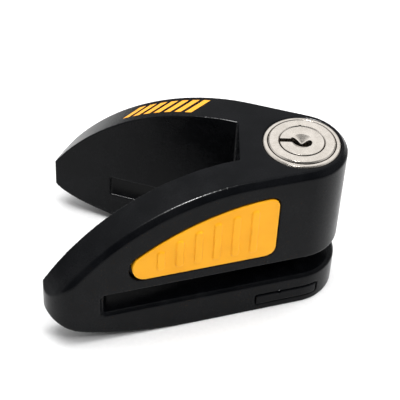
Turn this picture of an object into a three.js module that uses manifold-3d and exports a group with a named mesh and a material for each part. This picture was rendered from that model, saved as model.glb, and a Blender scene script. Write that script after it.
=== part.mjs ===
// Motorcycle disc brake lock: a V-shaped body with a slot for the disc, closed by a push-in key cylinder.
// Millimetres, +Z up. The lock lies on its flat base, its head towards +X and its two arms towards -X.
// It is drawn locked: the cylinder is pushed in and its locking pin crosses the slot.
import * as THREE from 'three';
import { mergeVertices } from 'three/addons/utils/BufferGeometryUtils.js';
import Module from 'manifold-3d';

const wasm = await Module();
wasm.setup();

// ---------------------------------------------------------------- driving dimensions

const LOOSE_GAP = 0.3; // round a piece let into a pocket
const RUNNING_GAP = 0.05; // round a piece that slides, turns or is pressed in
const FAR = 100; // well outside the lock, for a tool that cuts right through
const ROUND = 48; // facets of the bore, the cylinder and what sits round them
const SMALL_ROUND = 14; // facets of a small pin
const PLAN_FACETS = 36; // along each rounded end of the plan
const CREST_FACETS = 32; // along the crest, and along the keel
const CHAMFER_FACETS = 29; // other than the crest's, so that their corners never coincide
const CORNER_FACETS = 10; // along a curved edge of a grip or of the insert
const HEAD_FACETS = 90; // of a tool turned round the head

// Body in plan: a round head, and two arms that leave it along tangents.
const BODY_HEIGHT = 51.5;
const HEAD_CENTRE_X = 29.0;
const HEAD_RADIUS = 14.7;
const ARM_ANGLE = THREE.MathUtils.degToRad(17.0); // outer wall of an arm to the X axis
const NOTCH_ANGLE = THREE.MathUtils.degToRad(17.9); // inner wall of an arm to the X axis
const NOTCH_X = 11.8; // flat wall that ends the gap between the arms
const NOTCH_HALF_WIDTH = 8.3;
const NOSE_X = -43.7;
const NOSE_RADIUS = 8.3;

// Body from the side: crest and keel are swept level, square to the arms or nearly so.
const SWEEP_ANGLE = THREE.MathUtils.degToRad(24.5);
const CREST_START = 20.2; // distances along the sweep are taken from the lock axis
const CREST_BEND = [[44.8, BODY_HEIGHT], [66.8, 37.6], [79.7, 16.8]];
const KEEL_START = 38.4;
const KEEL_BEND = [[51.6, 0], [75.4, 4.2], [79.0, 11.2]];
const NOSE_REACH = 81.0;
const CHAMFER_WIDTH = 1.5;
const CHAMFER_DROP = 1.8;

// Slot for the brake disc.
const SLOT_FLOOR = 11.2;
const SLOT_CEILING = 18.2;
const SLOT_END_X = -26.0;
const SLOT_FLARE = 1.1; // bevel of the slot's closed end
const SLOT_LIP = 0.9; // bevel of its long outer edges

// Grip insert on the outer wall of each arm: distances run along the wall from the head's tangent.
const GRIP_HEAD_END = 10.1;
const GRIP_NOSE_END = 53.8;
const GRIP_BOTTOM = 22.9;
const GRIP_TOP = 45.0;
const GRIP_DEPTH = 2.0;
const GRIP_PROUD = 0.35;
const GRIP_NOSE_GAP = 1.0; // wider gap at the nose end, to prise the insert out
const GRIP_BACK_GAP = 0.15; // behind the insert, for its adhesive
const GRIP_TOP_EDGE = [[52.6, 30.8], [42.0, 38.8], [27.0, 44.6], [13.5, GRIP_TOP]];
const GRIP_CORNER = 3.7;
const GRIP_NOSE_CORNER = 4.3;
const RIB_COUNT = 6;
const RIB_FIRST = 17.4;
const RIB_PITCH = 5.56;
const RIB_WIDTH = 2.2;
const RIB_BOTTOM = 25.8;
const RIB_BELOW_EDGE = 2.8;
const RIB_PROUD = 0.55;
const PEG_RADIUS = 1.5;
const PEG_LENGTH = 3.5;
const PEG_PLACES = [[18, 34], [42, 29.5]];

// Key cylinder, from the face down.
const LOCK_X = 30.1;
const TRAVEL = 11.5;
const BARREL_FACE = 52.1;
const NECK_RADIUS = 9.85;
const SHOULDER_TOP = 36.0;
const SHOULDER_RADIUS = 10.6;
const BARREL_BOTTOM = 21.6;
const BARREL_CAVITY_RADIUS = 8.0;
const WEB_BOTTOM = 34.6;
const WEB_TOP = 36.2;
const EDGE_BREAK = 0.3;
const BORE_LEAD = 0.4; // countersink round the plug
const BEZEL_RADIUS = 11.4;
const BEZEL_BOTTOM = 49.9;
const BEZEL_TOP = 51.75;
const SEAL_BOTTOM = 47.8;
const BORE_FLOOR = 21.2;

// Plug and its pin stacks, which lie towards +X.
const PLUG_RADIUS = 6.5;
const PLUG_FACE = BARREL_FACE;
const PLUG_EDGE = 0.12;
const PLUG_BOTTOM = 36.4;
const JOURNAL_RADIUS = 4.5;
const TANG_TOP = 34.5;
const TANG_SIDE = 3.2;
const DISH_RADIUS = 3.0;
const DISH_DEPTH = 1.1;
const KEYWAY_BOTTOM = 37.0;
const KEYWAY_END = 3.0;
const STACK_COUNT = 5;
const STACK_FIRST_Z = 48.2;
const STACK_PITCH = 2.6;
const STACK_RADIUS = 1.0;
const SHEAR_RADIUS = PLUG_RADIUS + RUNNING_GAP;
const DRIVER_END = 7.8;
const COVER_START = 9.0;
const COVER_THICK = 0.6;
const COVER_WIDTH = 3.2;
const COVER_TOP = 49.9;
const DRILL_PIN_RADIUS = 0.75;
const DRILL_PIN_Z = 50.6;
const BARREL_DRILL_PIN_X = 8.2;
const PLUG_DRILL_PIN_X = 4.6;

// Latch under the plug: an eccentric pin draws the bolt in as the key turns a quarter turn.
const CAM_TOP = 34.4;
const CAM_BOTTOM = 33.4;
const CAM_RADIUS = 5.6;
const ECCENTRICITY = 3.0;
const ECCENTRIC_RADIUS = 0.9;
const ECCENTRIC_BOTTOM = 29.6;
const CLIP_TOP = 33.2;
const CLIP_BOTTOM = 32.8;
const TAIL_BOTTOM = 32.3;
const TAIL_NECK_RADIUS = 1.1;
const TAIL_BUTTON_RADIUS = 1.6;
const CLIP_RADIUS = 2.0;
const BOLT_TOP = 32.0;
const BOLT_BOTTOM = 28.8;
const BOLT_TIP = -13.3;
const BOLT_HALF_WIDTH = 3.0;
const BOLT_REAR = 1.2;
const BOLT_NOSE_END = -7.6;
const SHANK_EDGE = 0.9;
const HEEL_EDGE = 4.4;
const CAM_CLEARANCE = 0.12;
const LATCH_GROOVE_DEPTH = 13.8;
const BASE_TOP = 28.7;
const BASE_BOTTOM = 26.2;

// Locking pin, its socket in the lower jaw, and the hardened insert that guards the socket from below.
const PIN_RADIUS = 4.8;
const PIN_TIP = 7.8;
const SPIGOT_RADIUS = 3.0;
const SOCKET_RADIUS = 5.1;
const SOCKET_BOTTOM = 7.3;
const INSERT_X = [19.4, 37.8];
const INSERT_Z = [2.75, 6.1];
const INSERT_FAR_Y = 7.0;
const INSERT_CORNER = 0.6;
const INSERT_PROUD = 0.25;
const INSERT_PIN_X = 26.4;
const INSERT_PIN_RADIUS = 0.5;
const INSERT_PIN_FAR_Y = 9.0;
const DOWEL_RADIUS = 1.1;
const DOWEL_Y = 11.0;

// ---------------------------------------------------------------- solids

// A closed triangle mesh as a solid, its faces turned to point out.
function solidOf(geometry) {
  const bare = geometry.index ? geometry.toNonIndexed() : geometry.clone();
  bare.deleteAttribute('normal');
  bare.deleteAttribute('uv');
  const merged = mergeVertices(bare, 1e-4);
  const position = merged.getAttribute('position');
  const corners = dropEmptyTriangles(merged.index.array);
  if (signedVolume(position, corners) < 0) {
    corners.reverse();
  }
  return new wasm.Manifold(new wasm.Mesh({
    numProp: 3,
    vertProperties: new Float32Array(position.array),
    triVerts: new Uint32Array(corners),
  }));
}

function dropEmptyTriangles(index) {
  const kept = [];
  for (let i = 0; i < index.length; i += 3) {
    const [a, b, c] = [index[i], index[i + 1], index[i + 2]];
    if (a !== b && b !== c && c !== a) {
      kept.push(a, b, c);
    }
  }
  return kept;
}

function signedVolume(position, corners) {
  const [a, b, c] = [new THREE.Vector3(), new THREE.Vector3(), new THREE.Vector3()];
  let sum = 0;
  for (let i = 0; i < corners.length; i += 3) {
    a.fromBufferAttribute(position, corners[i]);
    b.fromBufferAttribute(position, corners[i + 1]);
    c.fromBufferAttribute(position, corners[i + 2]);
    sum += a.dot(b.cross(c));
  }
  return sum;
}

function geometryOf(solid) {
  const mesh = solid.getMesh();
  const geometry = new THREE.BufferGeometry();
  geometry.setAttribute('position', new THREE.BufferAttribute(new Float32Array(mesh.vertProperties), 3));
  geometry.setIndex(new THREE.BufferAttribute(new Uint32Array(mesh.triVerts), 1));
  geometry.computeVertexNormals();
  return geometry;
}

function join(...solids) {
  return solids.reduce((sum, solid) => sum.add(solid));
}

function cut(solid, ...tools) {
  return tools.reduce((rest, tool) => rest.subtract(tool), solid);
}

// ---------------------------------------------------------------- shapes

function box([x0, x1], [y0, y1], [z0, z1]) {
  const geometry = new THREE.BoxGeometry(x1 - x0, y1 - y0, z1 - z0);
  geometry.translate((x0 + x1) / 2, (y0 + y1) / 2, (z0 + z1) / 2);
  return solidOf(geometry);
}

// A cylinder along Z whose axis passes through (x, y).
function post(radius, z0, z1, x = 0, y = 0, facets = SMALL_ROUND) {
  const geometry = new THREE.CylinderGeometry(radius, radius, z1 - z0, facets);
  geometry.rotateX(Math.PI / 2);
  geometry.translate(x, y, (z0 + z1) / 2);
  return solidOf(geometry);
}

// A cylinder along X from x0 to x1.
function rodAlongX(radius, x0, x1, y, z) {
  const geometry = new THREE.CylinderGeometry(radius, radius, x1 - x0, SMALL_ROUND);
  geometry.rotateZ(Math.PI / 2);
  geometry.translate((x0 + x1) / 2, y, z);
  return solidOf(geometry);
}

// A cylinder along Y from y0 to y1.
function rodAlongY(radius, x, y0, y1, z) {
  const geometry = new THREE.CylinderGeometry(radius, radius, y1 - y0, SMALL_ROUND);
  geometry.translate(x, (y0 + y1) / 2, z);
  return solidOf(geometry);
}

// A turned piece round the Z axis, from (radius, height) points.
function turned(points, facets = ROUND) {
  const profile = points.map(([radius, height]) => new THREE.Vector2(radius, height));
  const geometry = new THREE.LatheGeometry(profile, facets);
  geometry.rotateX(Math.PI / 2);
  return solidOf(geometry);
}

function ring(inner, outer, z0, z1) {
  return turned([[inner, z0], [outer, z0], [outer, z1], [inner, z1], [inner, z0]]);
}

function polygon(points) {
  return new THREE.Shape(points.map(([x, y]) => new THREE.Vector2(x, y)));
}

function extruded(shape, depth, curveSegments) {
  return new THREE.ExtrudeGeometry(shape, { depth, bevelEnabled: false, curveSegments });
}

function prism(shape, z0, z1, curveSegments = CORNER_FACETS) {
  return solidOf(extruded(shape, z1 - z0, curveSegments).translate(0, 0, z0));
}

// A shape drawn in X and Z, run along Y.
function prismAlongY(shape, y0, y1) {
  const geometry = extruded(shape, y1 - y0, CORNER_FACETS);
  geometry.rotateX(Math.PI / 2);
  geometry.translate(0, y1, 0);
  return solidOf(geometry);
}

// The same piece for the other side of the lock.
function mirrored(solid) {
  return solidOf(geometryOf(solid).scale(1, -1, 1));
}

// A coil spring along Z, its wire's centre line from z0 to z1.
function coil(radius, wireRadius, z0, z1, turns, stepsPerTurn, wireSides) {
  class Helix extends THREE.Curve {
    getPoint(t, target = new THREE.Vector3()) {
      const angle = 2 * Math.PI * turns * t;
      return target.set(radius * Math.cos(angle), radius * Math.sin(angle), z0 + (z1 - z0) * t);
    }
  }
  const section = new THREE.Shape();
  section.absarc(0, 0, wireRadius, 0, 2 * Math.PI, false);
  const geometry = new THREE.ExtrudeGeometry(section, {
    steps: Math.round(turns * stepsPerTurn),
    curveSegments: wireSides / 2,
    bevelEnabled: false,
    extrudePath: new Helix(),
  });
  return solidOf(geometry);
}

// Moves a piece drawn round the origin to the lock axis.
function onLockAxis(solid) {
  return solid.translate([LOCK_X, 0, 0]);
}

// ---------------------------------------------------------------- body

// Where the near arm's outer wall leaves the head, and the directions along and into that wall.
const wallStart = new THREE.Vector3(
  HEAD_CENTRE_X + HEAD_RADIUS * Math.sin(ARM_ANGLE), -HEAD_RADIUS * Math.cos(ARM_ANGLE), 0);
const alongWall = new THREE.Vector3(-Math.cos(ARM_ANGLE), -Math.sin(ARM_ANGLE), 0);
const intoWall = new THREE.Vector3(-Math.sin(ARM_ANGLE), Math.cos(ARM_ANGLE), 0);
const up = new THREE.Vector3(0, 0, 1);

function planOutline() {
  const noseX = NOSE_X + NOSE_RADIUS;
  const innerStart = wallStart.clone().addScaledVector(intoWall, NOSE_RADIUS);
  const noseY = -innerStart.y + (innerStart.x - noseX) * Math.tan(ARM_ANGLE);
  const tipY = NOTCH_HALF_WIDTH + (NOTCH_X - NOSE_X) * Math.tan(NOTCH_ANGLE);
  const tangent = Math.PI / 2 - ARM_ANGLE;
  const shape = new THREE.Shape();
  shape.absarc(HEAD_CENTRE_X, 0, HEAD_RADIUS, -tangent, tangent, false);
  shape.absarc(noseX, noseY, NOSE_RADIUS, tangent, Math.PI, false);
  shape.lineTo(NOSE_X, tipY);
  shape.lineTo(NOTCH_X, NOTCH_HALF_WIDTH);
  shape.lineTo(NOTCH_X, -NOTCH_HALF_WIDTH);
  shape.lineTo(NOSE_X, -tipY);
  shape.absarc(noseX, -noseY, NOSE_RADIUS, Math.PI, 2 * Math.PI - tangent, false);
  shape.closePath();
  return shape;
}

// What lies under the crest, seen square to the sweep: down to the keel, or to a base well below it.
function crestOutline(withKeel) {
  const [crestA, crestB, crestEnd] = CREST_BEND;
  const [keelA, keelB, keelEnd] = KEEL_BEND;
  const shape = new THREE.Shape();
  if (withKeel) {
    shape.moveTo(-FAR, 0);
    shape.lineTo(KEEL_START, 0);
    shape.bezierCurveTo(...keelA, ...keelB, ...keelEnd);
  } else {
    shape.moveTo(-FAR, -2 * FAR);
    shape.lineTo(NOSE_REACH, -2 * FAR);
    shape.lineTo(...keelEnd);
  }
  shape.quadraticCurveTo(NOSE_REACH, (keelEnd[1] + crestEnd[1]) / 2, ...crestEnd);
  shape.bezierCurveTo(...crestB, ...crestA, CREST_START, BODY_HEIGHT);
  shape.lineTo(-FAR, BODY_HEIGHT);
  shape.closePath();
  return shape;
}

// The crest and keel swept level across the whole lock, for the near side.
function sweptProfile() {
  const along = new THREE.Vector3(-Math.cos(SWEEP_ANGLE), -Math.sin(SWEEP_ANGLE), 0);
  const across = new THREE.Vector3().crossVectors(along, up);
  const geometry = extruded(crestOutline(true), 2 * FAR, CREST_FACETS);
  geometry.translate(0, 0, -FAR);
  geometry.applyMatrix4(new THREE.Matrix4().makeBasis(along, up, across));
  geometry.translate(LOCK_X, 0, 0);
  return solidOf(geometry);
}

// The same crest swept up and inwards from the arm's outer wall, which leaves the chamfer.
function sweptChamfer() {
  const slant = Math.cos(SWEEP_ANGLE - ARM_ANGLE);
  const sweepAlong = new THREE.Vector3(-Math.cos(SWEEP_ANGLE), -Math.sin(SWEEP_ANGLE), 0);
  const sweepAcross = new THREE.Vector3().crossVectors(sweepAlong, up);
  const inAndUp = sweepAcross.multiplyScalar(CHAMFER_WIDTH / slant).addScaledVector(up, CHAMFER_DROP);
  const along = alongWall.clone().divideScalar(slant);
  const lockToStart = wallStart.clone().sub(new THREE.Vector3(LOCK_X, 0, 0));
  const origin = wallStart.clone().addScaledVector(along, -lockToStart.dot(sweepAlong));
  origin.z = -CHAMFER_DROP;
  const geometry = extruded(crestOutline(false), FAR, CHAMFER_FACETS);
  geometry.translate(0, 0, -1);
  geometry.applyMatrix4(new THREE.Matrix4().makeBasis(along, up, inAndUp));
  geometry.translate(origin.x, origin.y, origin.z);
  return solidOf(geometry);
}

// A tool turned round the head, kept only between the two tangents where the arms leave it.
function roundHead(points) {
  const side = [FAR * Math.sin(ARM_ANGLE), FAR * Math.cos(ARM_ANGLE)];
  const sector = polygon([[0, 0], [side[0], -side[1]], [FAR, -FAR], [FAR, FAR], [side[0], side[1]]]);
  const tool = turned(points, HEAD_FACETS).intersect(prism(sector, 0, FAR));
  return tool.translate([HEAD_CENTRE_X, 0, 0]);
}

function headChamfer() {
  const above = 1;
  const coneTop = HEAD_RADIUS - CHAMFER_WIDTH * (1 + above / CHAMFER_DROP);
  const outside = HEAD_RADIUS + above;
  return roundHead([
    [coneTop, BODY_HEIGHT + above],
    [outside, BODY_HEIGHT + above],
    [outside, BODY_HEIGHT - CHAMFER_DROP],
    [HEAD_RADIUS, BODY_HEIGHT - CHAMFER_DROP],
    [coneTop, BODY_HEIGHT + above],
  ]);
}

// Where a plane square to X cuts the near arm's outer wall.
function outerWallY(x) {
  return wallStart.y - (wallStart.x - x) * Math.tan(ARM_ANGLE);
}

// Bevels one long edge of the slot, along the near arm and round the head.
function slotLip(height) {
  const length = (wallStart.x - SLOT_END_X) / Math.cos(ARM_ANGLE);
  const side = SLOT_LIP * Math.SQRT2;
  const straight = new THREE.BoxGeometry(length, side, side);
  straight.rotateX(Math.PI / 4);
  straight.rotateZ(ARM_ANGLE);
  straight.translate((wallStart.x + SLOT_END_X) / 2, (wallStart.y + outerWallY(SLOT_END_X)) / 2, height);
  const curved = roundHead([
    [HEAD_RADIUS - SLOT_LIP, height],
    [HEAD_RADIUS, height - SLOT_LIP],
    [HEAD_RADIUS + SLOT_LIP, height],
    [HEAD_RADIUS, height + SLOT_LIP],
    [HEAD_RADIUS - SLOT_LIP, height],
  ]);
  const nearArm = solidOf(straight);
  return join(nearArm, mirrored(nearArm), curved);
}

function discSlot() {
  const slot = box([SLOT_END_X, FAR], [-FAR, FAR], [SLOT_FLOOR, SLOT_CEILING]);
  const side = SLOT_FLARE * Math.SQRT2;
  const flare = new THREE.BoxGeometry(side, side, SLOT_CEILING - SLOT_FLOOR);
  flare.rotateZ(Math.PI / 4 + ARM_ANGLE);
  flare.translate(SLOT_END_X, outerWallY(SLOT_END_X), (SLOT_FLOOR + SLOT_CEILING) / 2);
  const nearFlare = solidOf(flare);
  return join(slot, nearFlare, mirrored(nearFlare), slotLip(SLOT_FLOOR), slotLip(SLOT_CEILING));
}

// Everything bored in the head round the lock axis.
function lockBore() {
  const bore = post(SHOULDER_RADIUS + RUNNING_GAP, BORE_FLOOR, FAR, 0, 0, ROUND);
  const counterbore = post(BEZEL_RADIUS + RUNNING_GAP, SEAL_BOTTOM - RUNNING_GAP, FAR, 0, 0, ROUND);
  const pinHole = post(PIN_RADIUS + RUNNING_GAP, SLOT_CEILING - 1, BORE_FLOOR + 1, 0, 0, ROUND);
  const socket = post(SOCKET_RADIUS, SOCKET_BOTTOM, SLOT_FLOOR + 1, 0, 0, ROUND);
  const dowelHole = post(DOWEL_RADIUS + RUNNING_GAP, BORE_FLOOR, SEAL_BOTTOM + 1, 0, DOWEL_Y);
  const halfWidth = BOLT_HALF_WIDTH + LOOSE_GAP;
  const latchGroove = box([-LATCH_GROOVE_DEPTH, 0], [-halfWidth, halfWidth],
    [BOLT_BOTTOM - LOOSE_GAP, BOLT_TOP + TRAVEL + LOOSE_GAP]);
  return onLockAxis(join(bore, counterbore, pinHole, socket, dowelHole, latchGroove));
}

// The insert's face, larger by `grow` for the pocket it sits in.
function insertOutline(grow) {
  const [x0, x1] = [INSERT_X[0] - grow, INSERT_X[1] + grow];
  const [z0, z1] = [INSERT_Z[0] - grow, INSERT_Z[1] + grow];
  const corner = INSERT_CORNER;
  const shape = new THREE.Shape();
  shape.absarc(x0 + corner, z0 + corner, corner, Math.PI, 1.5 * Math.PI, false);
  shape.absarc(x1 - corner, z0 + corner, corner, -0.5 * Math.PI, 0, false);
  shape.absarc(x1 - corner, z1 - corner, corner, 0, 0.5 * Math.PI, false);
  shape.absarc(x0 + corner, z1 - corner, corner, 0.5 * Math.PI, Math.PI, false);
  shape.closePath();
  return shape;
}

// Half in the insert's top edge and half in the jaw, so it keys one to the other.
function insertPinHole() {
  return rodAlongY(INSERT_PIN_RADIUS + RUNNING_GAP, INSERT_PIN_X, -FAR, INSERT_PIN_FAR_Y, INSERT_Z[1]);
}

function blankBody() {
  const side = sweptProfile().intersect(sweptChamfer());
  return prism(planOutline(), 0, BODY_HEIGHT, PLAN_FACETS).intersect(side.intersect(mirrored(side)));
}

function lockBody() {
  const recess = gripOnWall(gripOutline(LOOSE_GAP, GRIP_NOSE_GAP), -GRIP_DEPTH, GRIP_DEPTH);
  const pegHoles = PEG_PLACES.map(([along, height]) => (
    pegOnWall(PEG_RADIUS + RUNNING_GAP, along, height, GRIP_DEPTH + PEG_LENGTH + LOOSE_GAP)));
  const gripCut = join(recess, ...pegHoles);
  const insertPocket = prismAlongY(insertOutline(LOOSE_GAP), -FAR, INSERT_FAR_Y + LOOSE_GAP);
  return cut(blankBody(), headChamfer(), discSlot(), lockBore(), gripCut, mirrored(gripCut),
    insertPocket, insertPinHole());
}

// ---------------------------------------------------------------- grips

// Top edge of a grip insert, from the nose end to the head end.
function gripTopEdge(grow) {
  const [nose, a, b, head] = GRIP_TOP_EDGE.map(([along, height]) => new THREE.Vector2(along, height + grow));
  nose.x += grow;
  return new THREE.CubicBezierCurve(nose, a, b, head);
}

function gripOutline(grow, noseGap) {
  const edge = gripTopEdge(grow);
  const headEnd = GRIP_HEAD_END - grow;
  const bottom = GRIP_BOTTOM - grow;
  const noseEnd = GRIP_NOSE_END + grow + noseGap;
  const shape = new THREE.Shape();
  shape.moveTo(headEnd + GRIP_CORNER, bottom);
  shape.lineTo(GRIP_NOSE_END - GRIP_NOSE_CORNER + noseGap, bottom);
  shape.bezierCurveTo(noseEnd - 1, bottom, noseEnd + 1, GRIP_BOTTOM + GRIP_NOSE_CORNER, edge.v0.x, edge.v0.y);
  shape.bezierCurveTo(edge.v1.x, edge.v1.y, edge.v2.x, edge.v2.y, edge.v3.x, edge.v3.y);
  shape.quadraticCurveTo(headEnd, GRIP_TOP + grow, headEnd, GRIP_TOP - GRIP_CORNER);
  shape.lineTo(headEnd, GRIP_BOTTOM + GRIP_CORNER);
  shape.quadraticCurveTo(headEnd, bottom, headEnd + GRIP_CORNER, bottom);
  shape.closePath();
  return shape;
}

// Height of that edge at a distance along the wall.
function gripTopAt(along) {
  const samples = gripTopEdge(0).getPoints(200);
  return samples.find((point) => point.x <= along).y;
}

// A shape drawn along and up the near arm's outer wall, run into the wall from one depth to another.
function gripOnWall(shape, depth0, depth1) {
  const geometry = extruded(shape, depth1 - depth0, CORNER_FACETS);
  geometry.translate(0, 0, depth0);
  geometry.applyMatrix4(new THREE.Matrix4().makeBasis(alongWall, up, intoWall));
  geometry.translate(wallStart.x, wallStart.y, 0);
  return solidOf(geometry);
}

function pegOnWall(radius, along, height, depth) {
  const section = new THREE.Shape();
  section.absarc(along, height, radius, 0, 2 * Math.PI, false);
  return gripOnWall(section, GRIP_DEPTH / 2, depth);
}

function ribOutline(along) {
  const half = RIB_WIDTH / 2;
  const top = gripTopAt(along) - RIB_BELOW_EDGE;
  const shape = new THREE.Shape();
  shape.absarc(along, RIB_BOTTOM + half, half, Math.PI, 2 * Math.PI, false);
  shape.absarc(along, top - half, half, 0, Math.PI, false);
  shape.closePath();
  return shape;
}

function nearGrip() {
  const plate = gripOnWall(gripOutline(0, 0), -GRIP_PROUD, GRIP_DEPTH - GRIP_BACK_GAP);
  const pegs = PEG_PLACES.map(([along, height]) => (
    pegOnWall(PEG_RADIUS, along, height, GRIP_DEPTH + PEG_LENGTH)));
  const ribs = [];
  for (let i = 0; i < RIB_COUNT; i += 1) {
    ribs.push(gripOnWall(ribOutline(RIB_FIRST + i * RIB_PITCH), -GRIP_PROUD - RIB_PROUD, 0));
  }
  return join(plate, ...pegs, ...ribs);
}

// ---------------------------------------------------------------- lower jaw

// Its face follows the wall and stands a little proud of it.
function jawInsert() {
  const plan = prism(planOutline(), 0, SLOT_FLOOR, PLAN_FACETS).translate([0, -INSERT_PROUD, 0]);
  return cut(prismAlongY(insertOutline(0), -FAR, INSERT_FAR_Y).intersect(plan), insertPinHole());
}

function insertPin() {
  const nearY = outerWallY(INSERT_PIN_X) + INSERT_PIN_RADIUS;
  return rodAlongY(INSERT_PIN_RADIUS, INSERT_PIN_X, nearY, INSERT_PIN_FAR_Y - RUNNING_GAP, INSERT_Z[1]);
}

// ---------------------------------------------------------------- cylinder

function stackHeight(i) {
  return STACK_FIRST_Z - i * STACK_PITCH;
}

function stackHoles(x0) {
  const holes = [];
  for (let i = 0; i < STACK_COUNT; i += 1) {
    holes.push(rodAlongX(STACK_RADIUS + RUNNING_GAP, x0, SHOULDER_RADIUS + 1, 0, stackHeight(i)));
  }
  return join(...holes);
}

function drillPinHole(x) {
  return rodAlongY(DRILL_PIN_RADIUS + RUNNING_GAP, x, -FAR, FAR, DRILL_PIN_Z);
}

function bezelRing() {
  const inner = NECK_RADIUS + 2 * RUNNING_GAP;
  return turned([
    [inner, BEZEL_BOTTOM],
    [BEZEL_RADIUS, BEZEL_BOTTOM],
    [BEZEL_RADIUS, BEZEL_TOP - EDGE_BREAK],
    [BEZEL_RADIUS - EDGE_BREAK, BEZEL_TOP],
    [inner + EDGE_BREAK, BEZEL_TOP],
    [inner, BEZEL_TOP - EDGE_BREAK],
    [inner, BEZEL_BOTTOM],
  ]);
}

function wiperSeal() {
  return ring(NECK_RADIUS + RUNNING_GAP, BEZEL_RADIUS, SEAL_BOTTOM, BEZEL_BOTTOM - RUNNING_GAP);
}

function barrel() {
  const outside = turned([
    [0, BARREL_BOTTOM],
    [SHOULDER_RADIUS, BARREL_BOTTOM],
    [SHOULDER_RADIUS, SHOULDER_TOP],
    [NECK_RADIUS, SHOULDER_TOP],
    [NECK_RADIUS, BARREL_FACE - EDGE_BREAK],
    [NECK_RADIUS - EDGE_BREAK, BARREL_FACE],
    [0, BARREL_FACE],
  ]);
  const cavity = post(BARREL_CAVITY_RADIUS, BARREL_BOTTOM - 1, WEB_BOTTOM, 0, 0, ROUND);
  const webHole = post(JOURNAL_RADIUS + RUNNING_GAP, WEB_BOTTOM - 1, WEB_TOP + 1, 0, 0, ROUND);
  const plugBore = post(SHEAR_RADIUS, WEB_TOP, FAR, 0, 0, ROUND);
  const lead = turned([
    [0, BARREL_FACE - BORE_LEAD],
    [SHEAR_RADIUS, BARREL_FACE - BORE_LEAD],
    [SHEAR_RADIUS + 2 * BORE_LEAD, BARREL_FACE + BORE_LEAD],
    [0, BARREL_FACE + BORE_LEAD],
  ]);
  const side = COVER_WIDTH / 2 + RUNNING_GAP;
  const coverGroove = box([COVER_START - RUNNING_GAP, FAR], [-side, side],
    [SHOULDER_TOP + RUNNING_GAP, COVER_TOP + RUNNING_GAP]);
  const dowelGroove = post(DOWEL_RADIUS + RUNNING_GAP, BARREL_BOTTOM - 1, SHOULDER_TOP + 1, 0, DOWEL_Y);
  const halfWidth = BOLT_HALF_WIDTH + RUNNING_GAP;
  const boltWindow = box([-FAR, -BARREL_CAVITY_RADIUS + 1], [-halfWidth, halfWidth],
    [BOLT_BOTTOM - RUNNING_GAP, BOLT_TOP + RUNNING_GAP]);
  return cut(outside, cavity, webHole, plugBore, lead, stackHoles(PLUG_RADIUS - 1), coverGroove,
    dowelGroove, boltWindow, drillPinHole(BARREL_DRILL_PIN_X));
}

// Keyway in plan: a thin slot from the plug's edge, then a wider chamber with a pointed ward.
function keywayOutline() {
  return polygon([
    [-FAR, -0.7], [-3.1, -0.7], [-2.6, -1], [-1.3, -1.9], [0, -2.5], [1.3, -2.6],
    [2.5, -2.1], [KEYWAY_END, -0.8], [2.8, 0.3], [2.1, 0.8], [1.3, 0.5], [0.6, 0.1], [0.05, -0.25],
    [-0.5, 0], [-1.1, 0.7], [-2, 1.4], [-3, 1.5], [-3.1, 0.9], [-FAR, 0.9],
  ]);
}

function plug() {
  const half = TANG_SIDE / 2;
  const outside = turned([
    [0, PLUG_BOTTOM],
    [PLUG_RADIUS, PLUG_BOTTOM],
    [PLUG_RADIUS, PLUG_FACE - PLUG_EDGE],
    [PLUG_RADIUS - PLUG_EDGE, PLUG_FACE],
    [0, PLUG_FACE],
  ]);
  const journal = post(JOURNAL_RADIUS, TANG_TOP, PLUG_BOTTOM + 1, 0, 0, ROUND);
  const tang = box([-half, half], [-half, half], [CAM_BOTTOM, TANG_TOP + 1]);
  const clipNeck = post(TAIL_NECK_RADIUS, TAIL_BOTTOM, CAM_BOTTOM + 1);
  const tailButton = post(TAIL_BUTTON_RADIUS, TAIL_BOTTOM, CLIP_BOTTOM - 2 * RUNNING_GAP);
  const keyway = prism(keywayOutline(), KEYWAY_BOTTOM, PLUG_FACE + 1);
  const dish = turned([
    [0, PLUG_FACE - DISH_DEPTH],
    [DISH_RADIUS * 2, PLUG_FACE + DISH_DEPTH],
    [0, PLUG_FACE + DISH_DEPTH],
  ]);
  return cut(join(outside, journal, tang, clipNeck, tailButton), keyway, dish,
    stackHoles(KEYWAY_END - 1), drillPinHole(PLUG_DRILL_PIN_X));
}

// Each is a little shorter or longer, to suit its cut in the key.
function bottomPin(i) {
  const tip = KEYWAY_END + LOOSE_GAP * (1 + i % 3);
  return rodAlongX(STACK_RADIUS, tip, PLUG_RADIUS - RUNNING_GAP, 0, stackHeight(i));
}

function driverPin(i) {
  return rodAlongX(STACK_RADIUS, SHEAR_RADIUS + RUNNING_GAP, DRIVER_END, 0, stackHeight(i));
}

function pinSpring(i) {
  const wire = 0.15;
  const along = coil(0.75, wire, DRIVER_END + 2 * wire, COVER_START - 2 * wire, 2, 7, 4);
  return along.rotate([0, 90, 0]).translate([0, 0, stackHeight(i)]);
}

function pinCover() {
  const half = COVER_WIDTH / 2;
  return box([COVER_START, COVER_START + COVER_THICK], [-half, half],
    [SHOULDER_TOP + 2 * RUNNING_GAP, COVER_TOP]);
}

function drillPin(x, radius) {
  const half = Math.sqrt(radius ** 2 - (x + DRILL_PIN_RADIUS) ** 2) - RUNNING_GAP;
  return rodAlongY(DRILL_PIN_RADIUS, x, -half, half, DRILL_PIN_Z);
}

// ---------------------------------------------------------------- latch

function plugCam() {
  const half = TANG_SIDE / 2 + RUNNING_GAP;
  const disc = post(CAM_RADIUS, CAM_BOTTOM, CAM_TOP, 0, 0, ROUND);
  const squareHole = box([-half, half], [-half, half], [CAM_BOTTOM - 1, CAM_TOP + 1]);
  const reach = ECCENTRICITY * Math.SQRT1_2;
  const pin = post(ECCENTRIC_RADIUS, ECCENTRIC_BOTTOM, (CAM_BOTTOM + CAM_TOP) / 2, -reach, reach);
  return cut(join(disc, pin), squareHole);
}

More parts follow.
